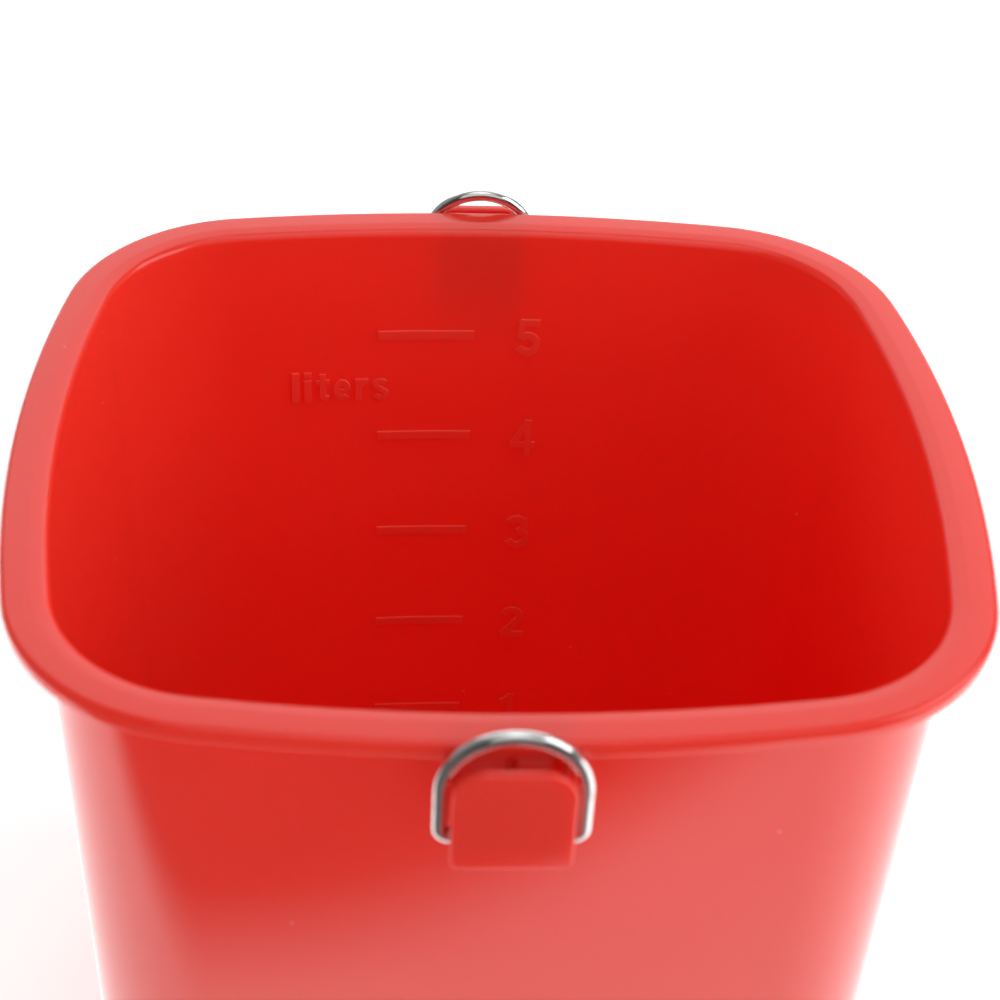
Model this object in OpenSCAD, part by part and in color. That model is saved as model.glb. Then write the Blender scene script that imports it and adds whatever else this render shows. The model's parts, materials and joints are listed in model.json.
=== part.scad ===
// Feed bucket: a tapered rounded-square plastic bucket with a wide rounded rim,
// a raised litre scale inside its back wall, and a wire D-ring in a moulded lug
// at the middle of its front and back walls.
// Millimetres, Z up. Origin: centre of the standing face. Front is -Y, back is +Y.

/* [Bucket] */
// Width over the rim, left to right
rim_w = 214.6; // [200:0.2:230]
// Depth over the rim, front to back
rim_d = 198.4; // [185:0.2:210]
// Height from the standing face to the rim top
height = 202.3; // [190:0.1:240]
// Radius of the rim's rounded corners
corner_r = 46; // [40:1:55]
// Radius to which the left and right sides bulge
side_r = 325; // [250:5:450]
// Radius to which the front and back bulge
front_r = 440; // [350:5:600]
// Slope of each wall from the vertical, degrees
draft = 1.4; // [0.8:0.1:2.2]
// Thickness of the walls
wall = 2; // [1.6:0.1:2.4]
// Thickness of the floor
floor_thick = 2.5; // [2:0.1:3]
// Height of the foot ring under the floor
foot_height = 2; // [1:0.1:3]
// Radius of the inside corner between wall and floor
floor_radius = 8; // [6:0.5:10]

/* [Rim] */
// Width of the rim from its inner edge to its outer edge
rim_band = 8.8; // [8.6:0.1:11]
// Thickness of the rim's top
rim_thick = 2.3; // [2:0.1:2.6]
// Height of the rim's turned-down outer edge
rim_drop = 4; // [3.6:0.1:4.6]

/* [Ring lugs] */
// Width of a lug's outer plate
lug_w = 24; // [23.6:0.1:24]
// Height of a lug, from its top edge to its lower end
lug_h = 25; // [24.5:0.5:32]
// Depth of a lug's top edge below the rim top
lug_drop = 2; // [2:0.1:2.6]
// Thickness of the outer plate
plate_thick = 2.6; // [2:0.1:2.6]
// Radius of the plate's top corners, small enough to pass inside the ring
lug_radius = 6.5; // [6.5:0.1:8]
// Thickness of the ribs between wall and plate
rib_thick = 1.6; // [1.2:0.1:1.6]

/* [D-rings] */
// Diameter of the ring's wire
wire_d = 3; // [2.8:0.1:3]
// Clear width inside a ring
ring_w = 25.2; // [25.2:0.1:26]
// Clear height inside a ring, from its straight bar to the top of its bow
ring_h = 23.2; // [23:0.1:24]
// Radial clearance between the bar and its bores
bar_clear = 0.05; // [0.03:0.01:0.1]

/* [Litre scale] */
// Number of marks, one for each litre
mark_count = 5; // [1:1:5]
// Length of a mark
mark_w = 25.6; // [10:0.1:40]
// Height of a mark on the wall
mark_h = 2.6; // [1:0.1:4]
// How far a mark stands proud of the wall
mark_proud = 0.4; // [0.2:0.1:0.8]

/* [Hidden] */

plastic = "#E0281C";
chrome = "#C9CDD0";

// Flat steps in half a left or right side, in a corner, and in half a front or back side
side_steps = 4;
bend_steps = 9;
front_steps = 4;
// Steps round a quarter of a corner of the wall's section
corner_steps = 4;

slope = tan(draft);
half_w = rim_w / 2;
half_d = rim_d / 2;
floor_z = foot_height + floor_thick;
base_radius = floor_radius + 1;
foot_width = 3;

// Insets are measured inwards from the rim's outer edge.
// Gap between the rim's inner edge and the inner wall face, carried up to the rim top
wall_gap = 1.4;
function inner_inset(z) = rim_band + wall_gap + (height - z) * slope;
function outer_inset(z) = inner_inset(z) - wall;

// Where the corner arcs are centred: each one touches a side arc and a front arc
side_reach = side_r - corner_r;
front_reach = front_r - corner_r;
side_centre = [half_w - side_r, 0];
front_centre = [0, half_d - front_r];
between = norm(front_centre - side_centre);
along = (side_reach * side_reach - front_reach * front_reach + between * between) / (2 * between);
across = sqrt(side_reach * side_reach - along * along);
unit = (front_centre - side_centre) / between;
corner_at = side_centre + along * unit + across * [-unit[1], unit[0]];
// Directions square to the outline where a side meets a corner, and a corner meets the front
side_turn = asin(corner_at[1] / side_reach);
front_turn = acos(corner_at[0] / front_reach);

// Point of the outline whose outward direction is t, in the first quarter
function quarter_point(inset, t) =
    t < side_turn ? side_centre + (side_r - inset) * [cos(t), sin(t)]
    : t < front_turn ? corner_at + (corner_r - inset) * [cos(t), sin(t)]
    : front_centre + (front_r - inset) * [cos(t), sin(t)];
quarter_turns = concat(
    [for (i = [0 : side_steps - 1]) side_turn * i / side_steps],
    [for (i = [0 : bend_steps - 1]) side_turn + (front_turn - side_turn) * i / bend_steps],
    [for (i = [0 : front_steps - 1]) front_turn + (90 - front_turn) * i / front_steps]
);
half_turns = concat(
    quarter_turns,
    [90],
    [for (i = [len(quarter_turns) - 1 : -1 : 1]) 180 - quarter_turns[i]]
);
turns = concat(half_turns, [for (t = half_turns) t + 180]);
plan_points = len(turns);

function outline(inset, z) = [
    for (t = turns)
        let (p = quarter_point(inset, asin(abs(sin(t)))))
            [p[0] * (cos(t) < -0.000001 ? -1 : 1), p[1] * (sin(t) < -0.000001 ? -1 : 1), z]
];

// Quarter arc of the wall's section, as [inset, z] pairs, from angle a0 to a1
function section_arc(inset, z, r, a0, a1) = [
    for (i = [0 : corner_steps])
        let (a = a0 + (a1 - a0) * i / corner_steps)
            [inset + r * cos(a), z + r * sin(a)]
];

// The shell's section, from the floor up the inside, over the rim and down to the foot ring
corner_z = floor_z + floor_radius;
inner_corner = inner_inset(corner_z) + floor_radius;
outer_corner = outer_inset(base_radius) + base_radius;
outer_edge_r = 1.5;
section = concat(
    section_arc(inner_corner, corner_z, floor_radius, -90, -180),
    [[inner_inset(height - 2.6), height - 2.6]],
    [
        [rim_band + 0.9, height - 1.3],
        [rim_band + 0.3, height - 0.4],
        [rim_band - 0.6, height],
        [outer_edge_r + 0.6, height]
    ],
    section_arc(outer_edge_r, height - outer_edge_r, outer_edge_r, 70, 180),
    [
        [0.25, height - rim_drop + 0.6],
        [0.8, height - rim_drop],
        [1.8, height - rim_drop],
        [2.4, height - rim_thick - 0.3],
        [3, height - rim_thick],
        [outer_inset(height) - 1.2, height - rim_thick],
        [outer_inset(height) - 0.1, height - rim_thick - 1.2]
    ],
    section_arc(outer_corner, base_radius, base_radius, -180, -90),
    [
        [outer_corner + foot_width, 0],
        [outer_corner + foot_width + 0.6, foot_height]
    ]
);

// Lugs and rings, measured on the back wall; the front is the same turned round.
// Height of an upright ring's top above the rim
ring_rise = 5.2;
// Gap between the rim's outer edge and an upright ring
ring_gap = 0.25;
bar_y = half_d + ring_gap + wire_d / 2;
bar_z = height + ring_rise - wire_d - ring_h - wire_d / 2;
bend_r = 2.2;
bow_r = ring_w / 2 + wire_d / 2;
bow_z = bar_z + wire_d / 2 + ring_h - ring_w / 2;
// The outer plate hangs just outside the upright ring
plate_y = bar_y + wire_d / 2 + 0.9;
lug_top = height - lug_drop;
lug_bottom = lug_top - lug_h;
lug_foot_radius = 2;
rib_root_y = half_d - outer_inset(lug_bottom) - 0.8;
rib_x = lug_w / 2 - 0.2 - rib_thick / 2;
// Ribs drop to this depth below the rim top where the ring's bow stands over them
saddle = 7;
boss_w = 2.6;
boss_d = wire_d + 4.4;

// Litre marks: each sits at the height where the cavity holds that whole volume
litre = 1000000;
mark_x = -13.7;
mark_root = 0.8;
function cavity_inset(z) =
    z < corner_z ? inner_corner - sqrt(pow(floor_radius, 2) - pow(corner_z - z, 2)) : inner_inset(z);
function area(z) =
    let (p = outline(cavity_inset(z), z))
        0.5 * sum([
            for (i = [0 : plan_points - 1])
                let (q = p[(i + 1) % plan_points])
                    p[i][0] * q[1] - q[0] * p[i][1]
        ]);
function sum(list, i = 0, total = 0) = i == len(list) ? total : sum(list, i + 1, total + list[i]);
function level(volume, z = floor_z, held = 0) =
    let (slice = area(z + 0.5))
        held + slice >= volume ? z + (volume - held) / slice : level(volume, z + 1, held + slice);

module shell() {
    loops = len(section);
    points = [for (s = section) each outline(s[0], s[1])];
    sides = [
        for (j = [0 : loops - 2])
            for (i = [0 : plan_points - 1])
                let (k = (i + 1) % plan_points)
                    [
                        j * plan_points + i,
                        j * plan_points + k,
                        (j + 1) * plan_points + k,
                        (j + 1) * plan_points + i
                    ]
    ];
    floor_face = [for (i = [plan_points - 1 : -1 : 0]) i];
    base_face = [for (i = [0 : plan_points - 1]) (loops - 1) * plan_points + i];
    polyhedron(points, concat(sides, [floor_face], [base_face]), convexity = 8);
}

// Outline of a lug's plate seen square to the wall, its top edge on the X axis
module plate_outline() {
    top_x = lug_w / 2 - lug_radius;
    foot_x = lug_w / 2 - lug_foot_radius;
    difference() {
        translate([-lug_w / 2, -lug_h])
            square([lug_w, lug_h]);
        for (side = [-1, 1]) {
            corner_cut([side * top_x, -lug_radius], lug_radius, side, 1);
            corner_cut([side * foot_x, lug_foot_radius - lug_h], lug_foot_radius, side, -1);
        }
    }
}

// What is taken off a square corner to round it, centred on the corner's arc
module corner_cut(centre, r, side_x, side_y) {
    spare = 1;
    translate(centre)
        scale([side_x, side_y])
            difference() {
                square(r + spare);
                circle(r = r, $fn = 48);
            }
}

// One rib from the wall out to the plate, down to a given height
module rib(x, foot_z) {
    flange_z = height - rim_thick + 0.3;
    lip_y = half_d - 2.4;
    translate([x - rib_thick / 2, rib_root_y, foot_z])
        cube([rib_thick, lip_y - rib_root_y, flange_z - foot_z]);
    translate([x - rib_thick / 2, rib_root_y, foot_z])
        cube([rib_thick, plate_y + 0.5 - rib_root_y, height - saddle - foot_z]);
}

// A lug on the back wall: plate, three ribs, and a bored boss at each end of the ring's bar
module lug() {
    difference() {
        union() {
            translate([0, plate_y + plate_thick, lug_top])
                rotate([90, 0, 0])
                    linear_extrude(plate_thick)
                        plate_outline();
            rib(0, bar_z + wire_d / 2 + 0.8);
            for (side = [-1, 1]) {
                rib(side * rib_x, lug_bottom + 1);
                translate([side * (rib_x + rib_thick / 2 - boss_w / 2), bar_y, bar_z])
                    rotate([0, 90, 0])
                        cylinder(d = boss_d, h = boss_w, center = true, $fn = 48);
            }
        }
        translate([0, bar_y, bar_z])
            rotate([0, 90, 0])
                cylinder(r = wire_d / 2 + bar_clear, h = lug_w + 2, center = true, $fn = 48);
    }
}

// The raised marks, each one a short arc laid against the bowed and sloping inner face of the back wall
module marks() {
    for (k = [1 : mark_count]) {
        z = level(k * litre);
        wall_r = front_r - inner_inset(z);
        half_turn = asin(mark_w / 2 / wall_r);
        translate([front_centre[0], front_centre[1], z - mark_h])
            rotate([0, 0, 90 - asin(mark_x / wall_r) - half_turn])
                rotate_extrude(angle = 2 * half_turn, $fn = 720)
                    translate([wall_r, 0])
                        polygon([
                            [-mark_proud - mark_h * slope, 0],
                            [-mark_proud, mark_h],
                            [mark_root, mark_h],
                            [mark_root, 0]
                        ]);
    }
}

// Wire bent round a quarter circle, from +X to +Y
module bend(r, turn) {
    rotate_extrude(angle = turn, $fn = 64)
        translate([r, 0])
            circle(d = wire_d, $fn = 32);
}

// An upright D-ring, its straight bar centred on the origin and its plane XZ
module ring() {
    bar_len = 2 * (bow_r - bend_r);
    limb = bow_z - bar_z - bend_r;
    rotate([0, 90, 0])
        cylinder(d = wire_d, h = bar_len, center = true, $fn = 32);
    rotate([90, 0, 0])
        for (side = [0, 1])
            mirror([side, 0, 0]) {
                translate([bow_r - bend_r, bend_r])
                    rotate([0, 0, -90])
                        bend(bend_r, 90);
                translate([bow_r, bend_r])
                    rotate([-90, 0, 0])
                        cylinder(d = wire_d, h = limb, $fn = 32);
            }
    rotate([90, 0, 0])
        translate([0, bow_z - bar_z])
            bend(bow_r, 180);
}

module bucket() {
    color(plastic) {
        shell();
        lug();
        rotate([0, 0, 180])
            lug();
        marks();
    }
}

module front_ring() {
    color(chrome)
        translate([0, -bar_y, bar_z])
            ring();
}

module rear_ring() {
    color(chrome)
        translate([0, bar_y, bar_z])
            ring();
}

bucket();
front_ring();
rear_ring();
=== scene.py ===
"""Looks for the feed bucket: a glossy red moulding with a chrome D-ring at its front and back.

Metres, in the CAD frame: front is -Y, up is +Z, and the bucket stands on Z = 0.
"""

import json
import math

import bpy
import numpy as np
from mathutils import Matrix, Vector


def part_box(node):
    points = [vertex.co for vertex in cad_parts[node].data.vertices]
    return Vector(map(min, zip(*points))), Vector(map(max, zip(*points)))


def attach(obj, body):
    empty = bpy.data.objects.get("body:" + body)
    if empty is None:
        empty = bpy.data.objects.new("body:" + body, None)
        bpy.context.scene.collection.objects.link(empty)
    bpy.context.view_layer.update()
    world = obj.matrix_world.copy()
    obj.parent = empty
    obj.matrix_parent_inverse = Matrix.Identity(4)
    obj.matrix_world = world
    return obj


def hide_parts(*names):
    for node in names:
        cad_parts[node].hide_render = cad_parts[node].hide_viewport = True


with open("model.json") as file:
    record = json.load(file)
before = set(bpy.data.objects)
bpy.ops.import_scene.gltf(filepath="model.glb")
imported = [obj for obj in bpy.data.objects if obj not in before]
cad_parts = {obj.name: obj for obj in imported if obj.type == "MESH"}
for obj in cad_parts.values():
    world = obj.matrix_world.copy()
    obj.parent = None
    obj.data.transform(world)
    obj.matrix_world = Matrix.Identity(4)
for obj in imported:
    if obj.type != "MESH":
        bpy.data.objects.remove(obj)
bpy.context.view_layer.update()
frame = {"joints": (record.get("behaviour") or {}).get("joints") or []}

MM = 0.001

# ---------------------------------------------------------------- sizes
# From the frame: the rings, the pivots and the outside of the moulding
BUCKET_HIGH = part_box("bucket")[1]
RING_LOW, RING_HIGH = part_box("rear_ring")
PIVOT = next(j["pos_m"] for j in frame["joints"] if j["name"] == "rear_ring_swing")
BAR_Y, BAR_Z = PIVOT[1], PIVOT[2]
WIRE_R = (RING_HIGH.y - RING_LOW.y) / 2
BOW_R = RING_HIGH.x - WIRE_R
BOW_Z = RING_HIGH.z - WIRE_R - BOW_R
HALF_W = BUCKET_HIGH.x
RIM_Z = BUCKET_HIGH.z
PLATE_OUT = BUCKET_HIGH.y

# Plan of the rim: four shallow side arcs joined by four corner arcs
RING_GAP = 0.25 * MM
HALF_D = BAR_Y - WIRE_R - RING_GAP
CORNER_R = 46 * MM
SIDE_R = 325 * MM
FRONT_R = 440 * MM

# Walls and floor
SLOPE = math.tan(math.radians(1.4))
WALL = 2 * MM
FLOOR_Z = 4.5 * MM
FOOT_Z = 2 * MM
FOOT_W = 3 * MM
FLOOR_FILLET = 8 * MM
BASE_FILLET = 9 * MM

# Rim: a flat outer band, then a facet that leans in towards the cavity
RIM_BAND = 8.8 * MM
WALL_GAP = 1.4 * MM
CREASE = 6.3 * MM
FACET_FALL = math.tan(math.radians(10))
RIM_THICK = 2.3 * MM
RIM_DROP = 4 * MM
LIP_THICK = 1.8 * MM
LIP_DRAFT = 0.2 * MM
EDGE_SAG = 0.1 * MM

# Lugs
LUG_W = 24 * MM
LUG_H = 25 * MM
LUG_TOP = RIM_Z - 2 * MM
PLATE_THICK = 2.6 * MM
PLATE_TOP_R = 6.5 * MM
PLATE_FOOT_R = 2 * MM
RIB_THICK = 1.6 * MM
RIB_X = LUG_W / 2 - 0.2 * MM - RIB_THICK / 2
SADDLE = 9.5 * MM
BOSS_R = WIRE_R + 2.2 * MM
BOSS_W = 2.6 * MM
BORE_R = WIRE_R + 0.05 * MM

# Rings
BEND_R = 2.2 * MM

# Litre scale on the back wall
MARK_X = -13.7 * MM
MARK_W = 25.6 * MM
MARK_H = 2.6 * MM
FIGURE_H = 11.4 * MM
FIGURE_LEFT = 10.0 * MM
FIGURE_RISE = 3.9 * MM
UNIT_H = 9.3 * MM
UNIT_LEFT = -49.6 * MM
UNIT_DROP = 47.2 * MM
PROUD = 0.6 * MM
LITRE = 0.001

# Camera: a long lens above the front ring, turned a little
CAMERA_AT = Vector((-26.6, -382.0, 480.5)) * MM
PITCH, YAW, ROLL = 0.6595, 0.0743, 0.0544
LENS = 75.7
F_STOP = 18

# Angle between faces over which an edge stays sharp
SHARP_OVER = math.radians(28)

# Surface colours
DEEP_RED = (0.98, 0.042, 0.025, 1)
CLEAR_RED = (0.992, 0.050, 0.030, 1)
DUST = (0.95, 0.6, 0.5, 1)
# Painted highlight colour for the edges and faces of the raised litre scale
RELIEF_HIGHLIGHT_RED = (1.0, 0.17, 0.13, 1)
BRIGHT_CHROME = (0.80, 0.80, 0.79, 1)
DULL_CHROME = (0.62, 0.60, 0.56, 1)
PIT = (0.35, 0.32, 0.28, 1)
WHITE = (1, 1, 1, 1)


# ---------------------------------------------------------------- plan and section of the moulding
def corner_centre():
    """Centre of the corner arc that touches a side arc and a front arc, in the first quarter."""
    side, front = np.array([HALF_W - SIDE_R, 0]), np.array([0, HALF_D - FRONT_R])
    side_reach, front_reach = SIDE_R - CORNER_R, FRONT_R - CORNER_R
    between = np.linalg.norm(front - side)
    along = (side_reach**2 - front_reach**2 + between**2) / (2 * between)
    across = math.sqrt(side_reach**2 - along**2)
    unit = (front - side) / between
    return side + along * unit + across * np.array([-unit[1], unit[0]])


SIDE_CENTRE = np.array([HALF_W - SIDE_R, 0])
FRONT_CENTRE = np.array([0, HALF_D - FRONT_R])
CORNER = corner_centre()
SIDE_TURN = math.asin(CORNER[1] / (SIDE_R - CORNER_R))
FRONT_TURN = math.acos(CORNER[0] / (FRONT_R - CORNER_R))


def plan_turns(side_steps=10, bend_steps=24, front_steps=14):
    """Outward directions round the whole outline, counterclockwise from +X."""
    quarter = np.concatenate([
        np.linspace(0, SIDE_TURN, side_steps, endpoint=False),
        np.linspace(SIDE_TURN, FRONT_TURN, bend_steps, endpoint=False),
        np.linspace(FRONT_TURN, math.pi / 2, front_steps + 1),
    ])
    half = np.concatenate([quarter, math.pi - quarter[-2:0:-1]])
    return np.concatenate([half, half + math.pi])


TURNS = plan_turns()


def outline(inset):
    """Points of the outline moved inwards by inset, one for each of TURNS."""
    points = []
    for turn in TURNS:
        c, s = math.cos(turn), math.sin(turn)
        t = math.asin(min(1, abs(s)))
        if t < SIDE_TURN:
            centre, r = SIDE_CENTRE, SIDE_R
        elif t < FRONT_TURN:
            centre, r = CORNER, CORNER_R
        else:
            centre, r = FRONT_CENTRE, FRONT_R
        x = centre[0] + (r - inset) * abs(c)
        y = centre[1] + (r - inset) * abs(s)
        points.append((math.copysign(x, c), math.copysign(y, s)))
    return np.array(points)


def inner_inset(z):
    """How far the inner wall face stands inside the rim's outer edge at height z."""
    return RIM_BAND + WALL_GAP + (RIM_Z - z) * SLOPE


def outer_inset(z):
    """The same for the outer wall face."""
    return inner_inset(z) - WALL


def rounded(corners, step=math.radians(9)):
    """Polyline through (a, b, radius) corners, each one turned with an arc of its radius."""
    points = []
    for k, (a, b, r) in enumerate(corners):
        here = np.array([a, b])
        if r == 0 or k in (0, len(corners) - 1):
            points.append(here)
            continue
        back = np.array(corners[k - 1][:2]) - here
        on = np.array(corners[k + 1][:2]) - here
        back, on = back / np.linalg.norm(back), on / np.linalg.norm(on)
        half = math.acos(np.clip(back @ on, -1, 1)) / 2
        centre = here + (back + on) / np.linalg.norm(back + on) * r / math.sin(half)
        start, end = here + back * r / math.tan(half), here + on * r / math.tan(half)
        steps = max(2, math.ceil((math.pi - 2 * half) / step))
        for i in range(steps + 1):
            mixed = start + (end - start) * i / steps - centre
            points.append(centre + mixed / np.linalg.norm(mixed) * r)
    return points


def shell_section():
    """(inset, z) from the inner floor's middle, up the wall, over the rim and down to the base."""
    middle = 40 * MM
    facet_end = inner_inset(RIM_Z)
    flange_z = RIM_Z - RIM_THICK
    foot_in = outer_inset(BASE_FILLET) + BASE_FILLET + FOOT_W
    return rounded([
        (middle, FLOOR_Z, 0),
        (inner_inset(FLOOR_Z), FLOOR_Z, FLOOR_FILLET),
        (facet_end, RIM_Z - (facet_end - CREASE) * FACET_FALL, 2.0 * MM),
        (CREASE, RIM_Z, 4 * MM),
        (0, RIM_Z - EDGE_SAG, 1.5 * MM),
        (LIP_DRAFT, RIM_Z - RIM_DROP, 0.5 * MM),
        (LIP_THICK, RIM_Z - RIM_DROP, 0.5 * MM),
        (LIP_THICK + 0.5 * MM, flange_z, 0.5 * MM),
        (outer_inset(flange_z), flange_z, 1.2 * MM),
        (outer_inset(0), 0, BASE_FILLET),
        (foot_in, 0, 0.4 * MM),
        (foot_in + 0.5 * MM, FOOT_Z, 0.6 * MM),
        (middle, FOOT_Z, 0),
    ])


def wall_steps(section, longest=7 * MM):
    """The section with its long straight runs cut into even steps."""
    points = [section[0]]
    for a, b in zip(section, section[1:]):
        count = max(1, math.ceil(np.linalg.norm(b - a) / longest))
        points += [a + (b - a) * i / count for i in range(1, count + 1)]
    return points


# ---------------------------------------------------------------- mesh helpers
def new_object(name, verts, faces):
    """Mesh object in the scene, checked for broken faces."""
    mesh = bpy.data.meshes.new(name)
    mesh.from_pydata([tuple(v) for v in verts], [], faces)
    mesh.validate()
    obj = bpy.data.objects.new(name, mesh)
    bpy.context.scene.collection.objects.link(obj)
    return obj


def loft(name, rings, closed=False):
    """Solid through equal rings of points, capped at its ends, or joined end to end if closed."""
    n = len(rings[0])
    faces = []
    for j in range(len(rings) - (0 if closed else 1)):
        a, b = j * n, (j + 1) % len(rings) * n
        faces += [(a + i, a + (i + 1) % n, b + (i + 1) % n, b + i) for i in range(n)]
    if not closed:
        faces.append(tuple(reversed(range(n))))
        faces.append(tuple(range((len(rings) - 1) * n, len(rings) * n)))
    obj = new_object(name, np.concatenate(rings), faces)
    face_outwards(obj.data)
    return obj


def face_outwards(mesh):
    """Turns a closed mesh inside out if it encloses a negative volume."""
    mesh.calc_loop_triangles()
    corners = np.array([[mesh.vertices[v].co for v in t.vertices] for t in mesh.loop_triangles])
    volume = np.einsum("ij,ij->i", corners[:, 0], np.cross(corners[:, 1], corners[:, 2])).sum()
    if volume < 0:
        mesh.flip_normals()


def combine(target, tools, operation):
    """Joins closed tools to target, or cuts them from it, and deletes them."""
    group = bpy.data.collections.new("tools")
    for tool in tools:
        group.objects.link(tool)
    step = target.modifiers.new(operation, "BOOLEAN")
    step.operation = operation
    step.operand_type = "COLLECTION"
    step.collection = group
    step.solver = "MANIFOLD"
    bpy.context.view_layer.update()
    evaluated = target.evaluated_get(bpy.context.evaluated_depsgraph_get())
    mesh = bpy.data.meshes.new_from_object(evaluated)
    if len(mesh.vertices) == len(target.data.vertices):
        raise RuntimeError(f"{operation} changed nothing: a tool isn't closed")
    target.modifiers.clear()
    target.data = mesh
    for tool in tools:
        bpy.data.objects.remove(tool)
    bpy.data.collections.remove(group)


def smooth(mesh):
    mesh.shade_smooth()
    mesh.set_sharp_from_angle(angle=SHARP_OVER)


def place(points, order, third):
    """3-D points from 2-D ones: order names their two axes, and third fills the one left over."""
    out = np.empty((len(points), 3))
    rest = ({0, 1, 2} - set(order)).pop()
    out[:, order[0]], out[:, order[1]] = np.array(points).T
    out[:, rest] = third
    return out


def circle(centre, r, steps=40):
    angles = np.linspace(0, 2 * math.pi, steps, endpoint=False)
    return np.stack([centre[0] + r * np.cos(angles), centre[1] + r * np.sin(angles)], axis=1)


# ---------------------------------------------------------------- bucket shell
def make_shell():
    rings = []
    for inset, z in wall_steps(shell_section()):
        rings.append(place(outline(inset), (0, 1), z))
    return loft("bucket_moulding", rings)


# ---------------------------------------------------------------- lugs
def turned(points, front):
    """Back-wall points as they are, or turned half round for the front wall."""
    return points * np.array([-1, -1, 1]) if front else points


def plate_outline(shrink):
    """Plate seen square to the wall, as (x, z), with its edge moved in by shrink."""
    points = []
    corners = [
        (1, 1, PLATE_TOP_R), (-1, 1, PLATE_TOP_R),
        (-1, -1, PLATE_FOOT_R), (1, -1, PLATE_FOOT_R),
    ]
    steps = 14
    for side, up, r in corners:
        x = side * (LUG_W / 2 - r)
        z = LUG_TOP - r if up > 0 else LUG_TOP - LUG_H + r
        start = {(1, 1): 0, (-1, 1): 90, (-1, -1): 180, (1, -1): 270}[side, up]
        for i in range(steps + 1):
            t = math.radians(start + 90 * i / steps)
            points.append((x + (r - shrink) * math.cos(t), z + (r - shrink) * math.sin(t)))
    return points


def make_plate(front):
    edge = 0.7 * MM
    inside, rings = PLATE_OUT - PLATE_THICK, []
    quarter = np.linspace(0, math.pi / 2, 6)
    for t in quarter:
        rings.append((edge * (1 - math.sin(t)), inside + edge * (1 - math.cos(t))))
    for t in quarter[::-1]:
        rings.append((edge * (1 - math.sin(t)), PLATE_OUT - edge * (1 - math.cos(t))))
    rings = [turned(place(plate_outline(s), (0, 2), y), front) for s, y in rings]
    return loft("plate", rings)


def make_rib(front, x, foot_z):
    """Rib from the wall to the plate; it dips under the ring's bow."""
    root = HALF_D - outer_inset(LUG_TOP - LUG_H) - 0.8 * MM
    lip, out = HALF_D - 2.4 * MM, PLATE_OUT - PLATE_THICK + 0.5 * MM
    under_rim, dip = RIM_Z - RIM_THICK + 0.3 * MM, RIM_Z - SADDLE
    side = rounded([
        (root, foot_z, 0), (out, foot_z, 0), (out, dip, 0),
        (lip, dip, 1.5 * MM), (lip, under_rim, 0), (root, under_rim, 0),
    ])
    ends = [x - RIB_THICK / 2, x + RIB_THICK / 2]
    return loft("rib", [turned(place(side, (1, 2), e), front) for e in ends])


def make_boss(front, side):
    """Round boss on a side rib, where the ring's bar runs through."""
    middle = side * (RIB_X + RIB_THICK / 2 - BOSS_W / 2)
    edge, half = 0.3 * MM, BOSS_W / 2
    section = [
        (BOSS_R - edge, -half), (BOSS_R, edge - half),
        (BOSS_R, half - edge), (BOSS_R - edge, half),
    ]
    rings = []
    for r, x in section:
        rings.append(turned(place(circle((BAR_Y, BAR_Z), r), (1, 2), middle + x), front))
    return loft("boss", rings)


def make_bore(front):
    reach = LUG_W / 2 + 1 * MM
    bar = circle((BAR_Y, BAR_Z), BORE_R)
    return loft("bore", [turned(place(bar, (1, 2), x), front) for x in (-reach, reach)])


def lug_pieces(front):
    low = LUG_TOP - LUG_H + 1 * MM
    pieces = [make_plate(front), make_rib(front, 0, BAR_Z + WIRE_R + 0.8 * MM)]
    for side in (-1, 1):
        pieces.append(make_rib(front, side * RIB_X, low))
        pieces.append(make_boss(front, side))
    return pieces


# ---------------------------------------------------------------- litre scale
def litre_heights(count=5):
    """Height at which the cavity holds 1, 2, 3 ... litres."""
    def inset(z):
        low = FLOOR_Z + FLOOR_FILLET
        if z >= low:
            return inner_inset(z)
        return inner_inset(low) + FLOOR_FILLET - math.sqrt(FLOOR_FILLET**2 - (low - z) ** 2)

    heights, held, z, slice_h = [], 0.0, FLOOR_Z, 1 * MM
    while len(heights) < count:
        x, y = outline(inset(z + slice_h / 2)).T
        area = 0.5 * abs(np.dot(x, np.roll(y, -1)) - np.dot(y, np.roll(x, -1)))
        while len(heights) < count and held + area * slice_h >= LITRE * (len(heights) + 1):
            heights.append(z + (LITRE * (len(heights) + 1) - held) / area)
        held += area * slice_h
        z += slice_h
    return heights


def on_wall(x, z, proud):
    """Points proud of the back wall's inner face, towards the cavity."""
    r = FRONT_R - inner_inset(z)
    return np.stack([x, FRONT_CENTRE[1] + np.sqrt(r**2 - x**2) - proud, z], axis=-1)


def make_stroke(path, width):
    """Raised ribbon along an (x, z) path on the back wall, a little narrower at its face."""
    draft, root = 0.08 * MM, 0.6 * MM
    path = np.array(path)
    runs = np.diff(path, axis=0)
    runs /= np.linalg.norm(runs, axis=1)[:, None]
    before, after = np.vstack([runs[:1], runs]), np.vstack([runs, runs[-1:]])
    across = np.stack([-(before + after)[:, 1], (before + after)[:, 0]], axis=1)
    across /= (1 + (before * after).sum(1))[:, None]
    rings = []
    for middle, aside in zip(path, across):
        corners = []
        for half, proud in ((-width / 2 - draft, -root), (width / 2 + draft, -root),
                            (width / 2 - draft, PROUD), (draft - width / 2, PROUD)):
            x, z = middle + aside * half
            corners.append(on_wall(x, z, proud))
        rings.append(np.array(corners))
    return loft("stroke", rings)


def make_mark(top_z):
    z = top_z - MARK_H / 2
    across = np.linspace(MARK_X - MARK_W / 2, MARK_X + MARK_W / 2, 24)
    return make_stroke([(x, z) for x in across], MARK_H)


def arc(x, y, rx, ry, start, end, step=11):
    """Elliptical arc between two angles in degrees, counterclockwise where end is the larger."""
    count = math.ceil(abs(end - start) / step)
    turn = np.radians(np.linspace(start, end, count + 1))
    return [(x + rx * math.cos(t), y + ry * math.sin(t)) for t in turn]


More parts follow.
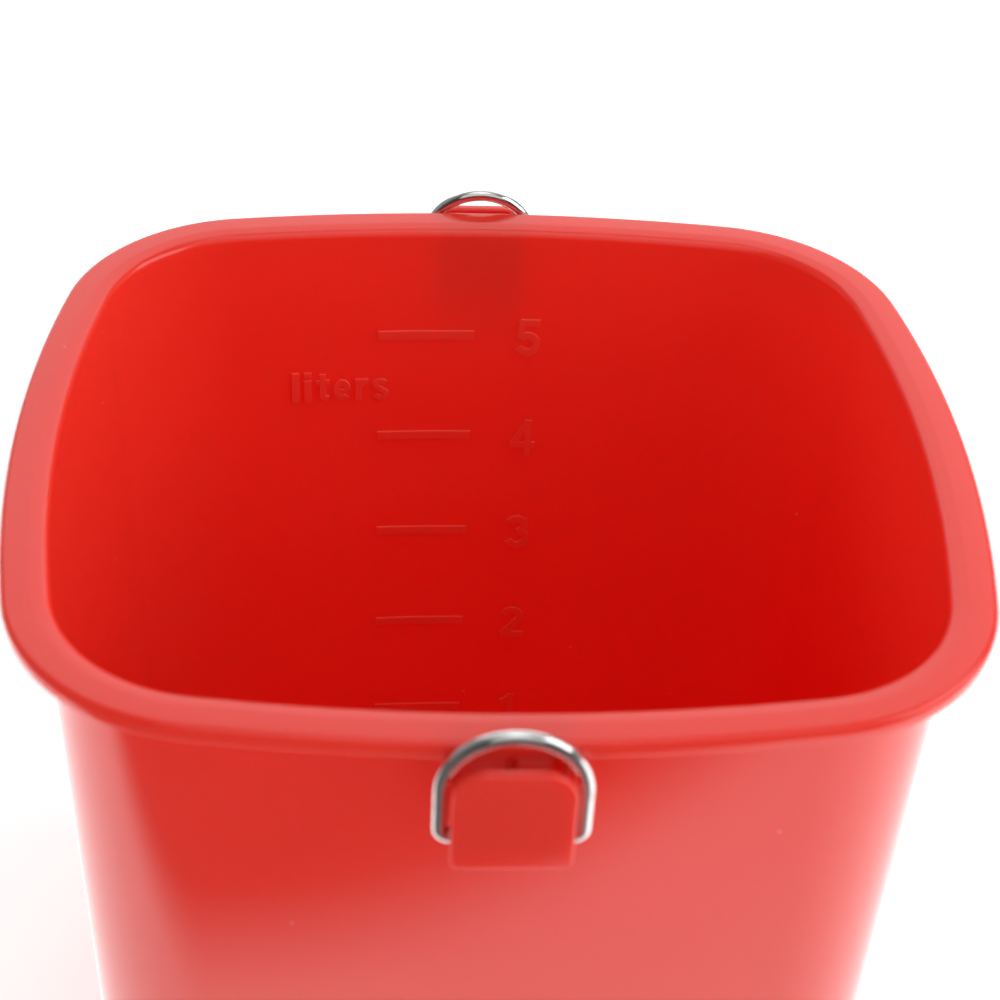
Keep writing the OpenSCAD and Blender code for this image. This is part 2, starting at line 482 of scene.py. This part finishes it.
def glyphs():
    """Plain bold figures and letters, one unit tall: a width and a (stroke width, path) list."""
    bold, mid, thin = 0.19, 0.16, 0.13
    stem, low = 0.225, 0.728
    return {
        "1": (0.62, [
            (bold, [(0.38, 0), (0.38, 1)]),
            (mid, [(0.13, 0.73), (0.23, 0.76), (0.33, 0.88)]),
        ]),
        "2": (0.62, [
            (bold, arc(0.31, 0.70, 0.215, 0.205, 165, -32) + [(0.12, 0.12)]),
            (bold, [(0.02, bold / 2), (0.62, bold / 2)]),
        ]),
        "3": (0.62, [
            (bold, arc(0.30, 0.715, 0.195, 0.19, 155, -90)),
            (bold, arc(0.31, 0.305, 0.215, 0.21, 90, -160)),
        ]),
        "4": (0.62, [
            (bold, [(0.44, 0), (0.44, 1)]),
            (mid, [(0, 0.29), (0.62, 0.29)]),
            (mid, [(0.42, 0.96), (0.075, 0.30)]),
        ]),
        "5": (0.62, [
            (bold, [(0.12, 1 - bold / 2), (0.58, 1 - bold / 2)]),
            (mid, [(0.165, 0.94), (0.12, 0.47)]),
            (bold, arc(0.30, 0.325, 0.215, 0.23, 140, -155)),
        ]),
        "l": (stem, [(stem, [(stem / 2, 0), (stem / 2, 1)])]),
        "i": (stem, [
            (stem, [(stem / 2, 0), (stem / 2, low)]),
            (stem, [(stem / 2, 0.84), (stem / 2, 1)]),
        ]),
        "t": (0.39, [
            (bold, [(0.2, 0.93), (0.2, 0.22)]
             + arc(0.315, 0.21, 0.115, 0.115, 180, 270) + [(0.38, 0.095)]),
            (thin, [(0, low - thin / 2), (0.39, low - thin / 2)]),
        ]),
        "e": (0.50, [
            (bold, arc(0.25, low / 2, 0.155, 0.269, 0, 318)),
            (thin, [(0.12, 0.34), (0.43, 0.34)]),
        ]),
        "r": (0.37, [
            (stem, [(stem / 2, 0), (stem / 2, low)]),
            (bold, arc(0.33, 0.42, 0.21, 0.213, 180, 78)),
        ]),
        "s": (0.50, [
            (mid, arc(0.25, 0.53, 0.155, 0.118, 28, 250)
             + arc(0.25, 0.205, 0.165, 0.125, 70, -155)),
        ]),
    }


def spell(word, left, base_z, height, gap=0.12):
    """Raised word with its lower left corner at (left, base_z)."""
    pieces = []
    for letter in word:
        width, strokes = glyphs()[letter]
        for thickness, path in strokes:
            path = [(left + x * height, base_z + z * height) for x, z in path]
            pieces.append(make_stroke(path, thickness * height))
        left += (width + gap) * height
    return pieces


def scale_lettering(heights):
    """The figures 1 to 5 beside their marks, and the unit between the top two marks."""
    pieces = []
    for litres, z in enumerate(heights, start=1):
        pieces += spell(str(litres), FIGURE_LEFT, z + FIGURE_RISE - FIGURE_H, FIGURE_H)
    return pieces + spell("liters", UNIT_LEFT, RIM_Z - UNIT_DROP - UNIT_H / 2, UNIT_H)


# ---------------------------------------------------------------- rings
def ring_path():
    """Centre line of an upright ring, from its bar's middle: (x, z) and the inward normal."""
    half_bar = BOW_R - BEND_R
    points = [(x, 0.0, 0.0, 1.0) for x in np.linspace(0, half_bar, 25)[:-1]]
    for t in np.linspace(-90, 0, 13)[:-1]:
        c, s = math.cos(math.radians(t)), math.sin(math.radians(t))
        points.append((half_bar + BEND_R * c, BEND_R + BEND_R * s, -c, -s))
    top = BOW_Z - BAR_Z
    points += [(BOW_R, z, -1.0, 0.0) for z in np.linspace(BEND_R, top, 9)[:-1]]
    for t in np.linspace(0, 90, 37):
        c, s = math.cos(math.radians(t)), math.sin(math.radians(t))
        points.append((BOW_R * c, top + BOW_R * s, -c, -s))
    mirrored = [(-x, z, -nx, nz) for x, z, nx, nz in points[-2:0:-1]]
    return points + mirrored


def make_ring(name, y):
    """Wire swept round the D, with a low weld bead in the middle of its bar."""
    angles = np.linspace(0, 2 * math.pi, 28, endpoint=False)
    bead_w, bead = 0.9 * MM, 0.22 * MM
    rings = []
    for x, z, nx, nz in ring_path():
        swell = bead * math.exp(-((x / bead_w) ** 2)) if z < WIRE_R else 0
        r = WIRE_R + swell * (1 + 0.25 * np.sin(3 * angles))
        rings.append(np.stack([
            x + r * np.cos(angles) * nx,
            y + r * np.sin(angles),
            BAR_Z + z + r * np.cos(angles) * nz,
        ], axis=1))
    ring = loft(name, rings, closed=True)
    ring.data.shade_smooth()
    return ring


# ---------------------------------------------------------------- materials
def new_material(name):
    material = bpy.data.materials.new(name)
    material.use_nodes = True
    return material, material.node_tree, material.node_tree.nodes["Principled BSDF"]


def noise(tree, scale, detail=2.0, stretch=(1, 1, 1)):
    """Noise over the object's own coordinates; scale is in waves per metre."""
    coords = tree.nodes.new("ShaderNodeTexCoord")
    mapping = tree.nodes.new("ShaderNodeMapping")
    mapping.inputs["Scale"].default_value = stretch
    texture = tree.nodes.new("ShaderNodeTexNoise")
    texture.inputs["Scale"].default_value = scale
    texture.inputs["Detail"].default_value = detail
    tree.links.new(coords.outputs["Object"], mapping.inputs["Vector"])
    tree.links.new(mapping.outputs["Vector"], texture.inputs["Vector"])
    return texture.outputs["Fac"]


def place_of(tree, kind="Object"):
    """X, Y and Z of the shaded point, or of a direction for the world."""
    coords = tree.nodes.new("ShaderNodeTexCoord")
    split = tree.nodes.new("ShaderNodeSeparateXYZ")
    tree.links.new(coords.outputs[kind], split.inputs["Vector"])
    return [split.outputs[axis] for axis in "XYZ"]


def remap(tree, value, low, high, out_low, out_high):
    node = tree.nodes.new("ShaderNodeMapRange")
    ends = {"From Min": low, "From Max": high, "To Min": out_low, "To Max": out_high}
    for name, number in ends.items():
        node.inputs[name].default_value = number
    tree.links.new(value, node.inputs["Value"])
    return node.outputs["Result"]


def mix_colour(tree, factor, a, b):
    node = tree.nodes.new("ShaderNodeMix")
    node.data_type = "RGBA"
    sockets = [node.inputs[0], node.inputs[6], node.inputs[7]]
    for socket, value in zip(sockets, (factor, a, b)):
        if isinstance(value, bpy.types.NodeSocket):
            tree.links.new(value, socket)
        else:
            socket.default_value = value
    return node.outputs[2]


def maths(tree, operation, a, b):
    node = tree.nodes.new("ShaderNodeMath")
    node.operation = operation
    for socket, value in zip(node.inputs, (a, b)):
        if isinstance(value, bpy.types.NodeSocket):
            tree.links.new(value, socket)
        else:
            socket.default_value = value
    return node.outputs[0]


def bump(tree, height, strength, distance, under=None):
    node = tree.nodes.new("ShaderNodeBump")
    node.inputs["Strength"].default_value = strength
    node.inputs["Distance"].default_value = distance
    tree.links.new(height, node.inputs["Height"])
    if under is not None:
        tree.links.new(under, node.inputs["Normal"])
    return node.outputs["Normal"]


def specks(tree, scale, size, share):
    """1 on small round specks, of which share is kept, and 0 elsewhere."""
    coords = tree.nodes.new("ShaderNodeTexCoord")
    cells = tree.nodes.new("ShaderNodeTexVoronoi")
    cells.inputs["Scale"].default_value = scale
    tree.links.new(coords.outputs["Object"], cells.inputs["Vector"])
    near = maths(tree, "LESS_THAN", cells.outputs["Distance"], size)
    split = tree.nodes.new("ShaderNodeSeparateColor")
    tree.links.new(cells.outputs["Color"], split.inputs["Color"])
    kept = maths(tree, "LESS_THAN", split.outputs["Red"], share)
    return maths(tree, "MULTIPLY", near, kept)


def height_mask(tree, low, high):
    """0 below low, 1 above high."""
    return remap(tree, place_of(tree)[2], low, high, 0, 1)


def band(tree, value, low, high, blur):
    """1 where value lies between low and high."""
    above = remap(tree, value, low - blur, low + blur, 0, 1)
    below = remap(tree, value, high - blur, high + blur, 1, 0)
    return maths(tree, "MULTIPLY", above, below)


def rubbed_relief(tree):
    """Painted highlight mask: 1 on the edges of the raised scale on the back wall, 0.2 on its faces
    and 0 elsewhere.
    """
    x, y, z = place_of(tree)
    high, low = 0.18, 0.04
    slope = (inner_inset(low) - inner_inset(high)) / (high - low)
    inset = maths(tree, "ADD", maths(tree, "MULTIPLY", z, -slope), inner_inset(high) + slope * high)
    radius = maths(tree, "SUBTRACT", FRONT_R, inset)
    radius_squared = maths(tree, "MULTIPLY", radius, radius)
    reach = maths(tree, "SUBTRACT", radius_squared, maths(tree, "MULTIPLY", x, x))
    wall_y = maths(tree, "ADD", maths(tree, "SQRT", reach, 0), FRONT_CENTRE[1])
    proud = maths(tree, "DIVIDE", maths(tree, "SUBTRACT", wall_y, y), PROUD)
    edge, face = band(tree, proud, 0.25, 0.8, 0.08), band(tree, proud, 0.88, 1.4, 0.06)
    marked = maths(tree, "ADD", edge, maths(tree, "MULTIPLY", face, 0.2))
    marked = maths(tree, "MULTIPLY", marked, band(tree, x, -55 * MM, 30 * MM, 1 * MM))
    return maths(tree, "MULTIPLY", marked, band(tree, z, 30 * MM, 182 * MM, 1 * MM))


def plastic():
    """Glossy, slightly translucent red plastic with faint flow marks, fine scratches, dust and a
    painted highlight on the raised scale.
    """
    material, tree, shader = new_material("bucket_plastic")
    flow = noise(tree, 16, 3)
    colour = mix_colour(tree, remap(tree, flow, 0.15, 0.85, 0, 1), DEEP_RED, CLEAR_RED)
    dust = specks(tree, 160, 0.055, 0.05)
    colour = mix_colour(tree, maths(tree, "MULTIPLY", dust, 0.35), colour, DUST)
    # Painted highlight: lighter red on the edges and faces of the raised scale, where light would
    # catch the relief
    relief_highlight = maths(tree, "MULTIPLY", rubbed_relief(tree), 0.95)
    colour = mix_colour(tree, relief_highlight, colour, RELIEF_HIGHLIGHT_RED)
    scratches = remap(tree, noise(tree, 700, 2, (1, 1, 0.08)), 0.70, 0.78, 0, 1)
    tree.links.new(colour, shader.inputs["Base Color"])

    gloss = remap(tree, noise(tree, 30, 2), 0.15, 0.85, 0.08, 0.16)
    worn = maths(tree, "SUBTRACT", 1, height_mask(tree, 0.5 * MM, 3 * MM))
    gloss = maths(tree, "ADD", gloss, maths(tree, "MULTIPLY", worn, 0.3))
    gloss = maths(tree, "ADD", gloss, maths(tree, "MULTIPLY", scratches, 0.02))
    tree.links.new(gloss, shader.inputs["Roughness"])

    ripple = bump(tree, noise(tree, 14, 0), 0.3, 0.4 * MM)
    skin = bump(tree, noise(tree, 1400, 2), 0.12, 0.02 * MM, ripple)
    skin = bump(tree, scratches, 0.04, 0.02 * MM, skin)
    tree.links.new(skin, shader.inputs["Normal"])

    shader.inputs["IOR"].default_value = 1.49
    shader.inputs["Subsurface Weight"].default_value = 0.65
    shader.inputs["Subsurface Radius"].default_value = (1.0, 0.10, 0.05)
    shader.inputs["Subsurface Scale"].default_value = 8 * MM
    return material


def chrome():
    """Bright plated wire with faint draw lines, small dull patches and a few specks."""
    material, tree, shader = new_material("ring_chrome")
    tarnish = remap(tree, noise(tree, 260, 4), 0.55, 0.8, 0, 1)
    colour = mix_colour(tree, tarnish, BRIGHT_CHROME, DULL_CHROME)
    pits = specks(tree, 900, 0.16, 0.12)
    colour = mix_colour(tree, maths(tree, "MULTIPLY", pits, 0.5), colour, PIT)
    tree.links.new(colour, shader.inputs["Base Color"])
    gloss = remap(tree, noise(tree, 420, 3), 0.3, 0.7, 0.07, 0.16)
    gloss = maths(tree, "ADD", gloss, maths(tree, "MULTIPLY", tarnish, 0.08))
    tree.links.new(gloss, shader.inputs["Roughness"])
    lines = bump(tree, noise(tree, 1800, 2, (0.3, 1, 1)), 0.08, 0.02 * MM)
    tree.links.new(bump(tree, pits, 0.3, 0.03 * MM, lines), shader.inputs["Normal"])
    shader.inputs["Metallic"].default_value = 1
    return material


def floor_finish():
    """Pale floor. Reflections see a painted reflection on it: the glow of a brightly lit table that
    ends in front of the bucket, and dark ground before it.
    """
    material, tree, shader = new_material("studio_floor")
    colour = mix_colour(tree, noise(tree, 3, 2), (0.90, 0.90, 0.90, 1), (0.93, 0.93, 0.93, 1))
    shader.inputs["Roughness"].default_value = 0.8

    # Painted reflection: glossy rays see the floor nearly black, plus a glow behind a slanted edge
    x, y, _ = place_of(tree)
    tilt, edge_y, blur = 0.36, -0.213, 0.02
    across = maths(tree, "MULTIPLY", x, tilt)
    lit = remap(tree, maths(tree, "ADD", y, across), edge_y - blur, edge_y + blur, 0, 1)
    ray = tree.nodes.new("ShaderNodeLightPath")
    glossy = ray.outputs["Is Glossy Ray"]
    colour = mix_colour(tree, maths(tree, "MULTIPLY", glossy, 0.85), colour, (0.04, 0.04, 0.04, 1))
    tree.links.new(colour, shader.inputs["Base Color"])
    seen = maths(tree, "MULTIPLY", maths(tree, "SUBTRACT", 1, glossy), 0.2)
    seen = maths(tree, "ADD", seen, maths(tree, "MULTIPLY", ray.outputs["Is Camera Ray"], 0.35))
    mirrored = maths(tree, "MULTIPLY", glossy, maths(tree, "MULTIPLY", lit, 1.55))
    shader.inputs["Emission Color"].default_value = WHITE
    tree.links.new(maths(tree, "ADD", seen, mirrored), shader.inputs["Emission Strength"])
    return material


# ---------------------------------------------------------------- the three pieces
def build_bucket():
    bucket = make_shell()
    heights = litre_heights()
    raised = lug_pieces(False) + lug_pieces(True) + [make_mark(z) for z in heights]
    combine(bucket, raised + scale_lettering(heights), "UNION")
    combine(bucket, [make_bore(False), make_bore(True)], "DIFFERENCE")
    smooth(bucket.data)
    bucket.data.materials.clear()
    bucket.data.materials.append(plastic())
    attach(bucket, "bucket")
    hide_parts("bucket")


def build_rings():
    finish = chrome()
    for node, y in (("front_ring", -BAR_Y), ("rear_ring", BAR_Y)):
        ring = make_ring(node + "_wire", y)
        ring.data.materials.append(finish)
        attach(ring, node)
        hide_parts(node)


# ---------------------------------------------------------------- studio
def softbox(name, place_at, size, radiance):
    """Rectangular light aimed at the bucket's middle, seen in reflections but not by the camera."""
    data = bpy.data.lights.new(name, "AREA")
    data.shape = "RECTANGLE"
    data.size, data.size_y = size
    data.energy = radiance * math.pi * size[0] * size[1]
    light = bpy.data.objects.new(name, data)
    bpy.context.scene.collection.objects.link(light)
    light.location = place_at
    light.rotation_mode = "QUATERNION"
    aim = Vector((0, 0, RIM_Z / 2)) - Vector(place_at)
    light.rotation_quaternion = aim.to_track_quat("-Z", "Y")
    light.visible_camera = False


def tent_world():
    """A white tent, brightest low at the sides. Gloss sees it dim, and darkest at the front."""
    world = bpy.data.worlds.new("studio_world")
    world.use_nodes = True
    tree = world.node_tree
    x, y, z = place_of(tree, "Generated")
    height = maths(tree, "ABSOLUTE", z, 0)
    sideways = remap(tree, maths(tree, "ABSOLUTE", x, 0), 0.3, 0.9, 0.35, 1.5)
    tent = maths(tree, "MULTIPLY", remap(tree, height, 0.25, 0.6, 1, 0.1), sideways)
    glossy = tree.nodes.new("ShaderNodeLightPath").outputs["Is Glossy Ray"]
    soft = maths(tree, "MULTIPLY", maths(tree, "SUBTRACT", 1, glossy), tent)
    dim = remap(tree, y, -0.7, 0.1, 0.04, 0.3)
    strength = maths(tree, "ADD", soft, maths(tree, "MULTIPLY", glossy, dim))
    back = tree.nodes["Background"]
    back.inputs["Color"].default_value = WHITE
    tree.links.new(strength, back.inputs["Strength"])
    return world


def build_studio():
    """Floor, four softboxes and the tent round them."""
    half = 6.0
    floor = new_object(
        "studio_floor",
        [(-half, -half, 0), (half, -half, 0), (half, half, 0), (-half, half, 0)],
        [(0, 1, 2, 3)],
    )
    floor.data.materials.append(floor_finish())

    softbox("back_softbox", (0, 1.6, 1.2), (2.4, 1.6), 1.15)
    softbox("front_softbox", (0.1, -0.9, 1.1), (1.3, 1.1), 0.65)
    softbox("top_softbox", (0.05, -0.05, 1.5), (0.8, 0.8), 1.1)
    softbox("right_softbox", (1.0, -0.15, 0.85), (1.0, 0.8), 2.4)

    bpy.context.scene.world = tent_world()
    bpy.context.scene.view_settings.view_transform = "Standard"


def build_camera():
    """Looks down into the mouth, focused on the back wall."""
    level_ahead = Vector((math.sin(YAW), math.cos(YAW), 0))
    ahead = level_ahead * math.cos(PITCH) - Vector((0, 0, math.sin(PITCH)))
    level = Vector((math.cos(YAW), -math.sin(YAW), 0))
    above = level.cross(ahead)
    right = level * math.cos(ROLL) + above * math.sin(ROLL)
    up = above * math.cos(ROLL) - level * math.sin(ROLL)

    data = bpy.data.cameras.new("camera")
    data.sensor_width = 36
    data.lens = LENS
    camera = bpy.data.objects.new("camera", data)
    bpy.context.scene.collection.objects.link(camera)
    turn = Matrix((right, up, -ahead)).transposed().to_4x4()
    camera.matrix_world = Matrix.Translation(CAMERA_AT) @ turn

    focus = bpy.data.objects.new("focus_point", None)
    bpy.context.scene.collection.objects.link(focus)
    focus.location = (0, HALF_D * 0.85, RIM_Z * 0.72)
    data.dof.use_dof = True
    data.dof.focus_object = focus
    data.dof.aperture_fstop = F_STOP
    bpy.context.scene.camera = camera


build_bucket()
build_rings()
build_studio()
build_camera()
